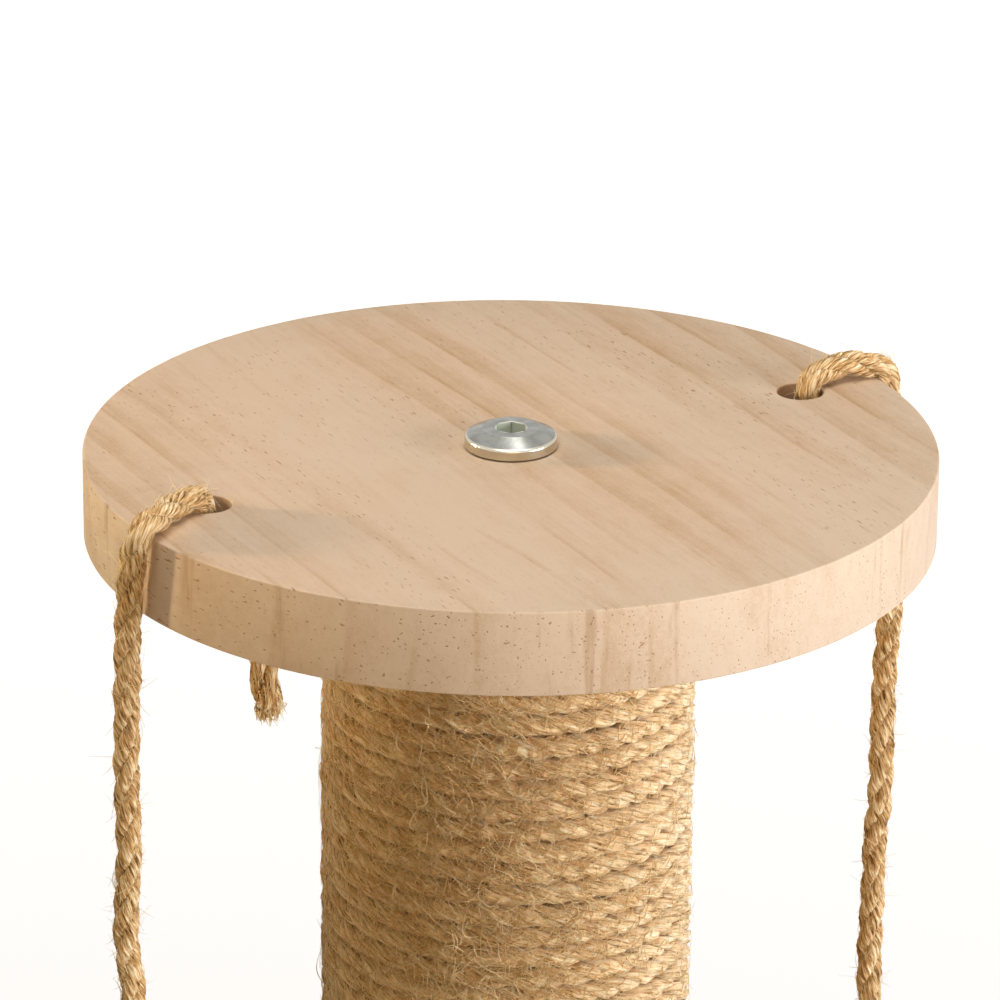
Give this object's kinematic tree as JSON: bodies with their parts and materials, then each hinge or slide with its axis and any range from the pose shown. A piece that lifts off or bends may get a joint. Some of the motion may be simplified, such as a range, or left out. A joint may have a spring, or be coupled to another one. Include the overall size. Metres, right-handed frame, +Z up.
{
  "type": "cat scratching post",
  "caption": "Free-standing cat scratching post: a round wooden base, a post wound with jute cord, and a round wooden top with rope toys that hang over its rim and swing.",
  "frame": {"origin": "on the floor, under the middle of the post", "axes": "+Z up along the post; +X from the post to the hole of the right rope; +Y towards the back"},
  "size_m": [0.35, 0.35, 0.5071],
  "materials": {
    "pine": "sanded pine, no varnish",
    "jute": "twisted jute with loose fibres",
    "zinc": "bright zinc plate",
    "paper": "raw wound paper",
    "felt": "pressed felt"
  },
  "bodies": {
    "post": {"felt_pad_1": "felt", "felt_pad_2": "felt", "felt_pad_3": "felt", "felt_pad_4": "felt", "base_plate": "pine", "base_plug": "pine", "base_insert": "zinc", "base_bolt": "zinc", "post_tube": "paper", "lower_winding": "jute", "rope_winding": "jute", "top_plug": "pine", "top_insert": "zinc", "top_bolt": "zinc", "top_disc": "pine", "right_anchor_knot": "jute", "right_rope_over_top": "jute", "left_anchor_knot": "jute", "left_rope_over_top": "jute"},
    "right_rope_bend": {"right_rope_over_rim": "jute"},
    "right_toy_rope": {"right_rope_hanging": "jute", "right_upper_knot": "jute", "right_rope_in_ball": "jute", "right_end_knot": "jute"},
    "right_ball": {"right_ball": "pine"},
    "left_rope_bend": {"left_rope_over_rim": "jute"},
    "left_toy_rope": {"left_rope_hanging": "jute", "left_upper_knot": "jute", "left_rope_in_ball": "jute", "left_end_knot": "jute"},
    "left_ball": {"left_ball": "pine"}
  },
  "joints": [
    {"name": "right_rope_side_swing", "type": "hinge", "parent": "post", "child": "right_rope_bend", "pos_m": [0.0832, 0, 0.5042], "axis": [1, 0, 0], "range_deg": [-60, 60]},
    {"name": "right_rope_in_out_swing", "type": "hinge", "parent": "right_rope_bend", "child": "right_toy_rope", "pos_m": [0.0956, 0, 0.487], "axis": [0, -1, 0], "range_deg": [-10, 75]},
    {"name": "right_ball_spin", "type": "hinge", "parent": "right_toy_rope", "child": "right_ball", "pos_m": [0.0956, 0, 0.294], "axis": [0, 0, 1], "continuous": true},
    {"name": "left_rope_side_swing", "type": "hinge", "parent": "post", "child": "left_rope_bend", "pos_m": [-0.0844, -0.0103, 0.5034], "axis": [-0.9744, -0.225, 0], "range_deg": [-60, 60]},
    {"name": "left_rope_in_out_swing", "type": "hinge", "parent": "left_rope_bend", "child": "left_toy_rope", "pos_m": [-0.09336, -0.01237, 0.487], "axis": [-0.225, 0.9744, 0], "range_deg": [-10, 75]},
    {"name": "left_ball_spin", "type": "hinge", "parent": "left_toy_rope", "child": "left_ball", "pos_m": [-0.09336, -0.01237, 0.294], "axis": [0, 0, 1], "continuous": true}
  ]
}
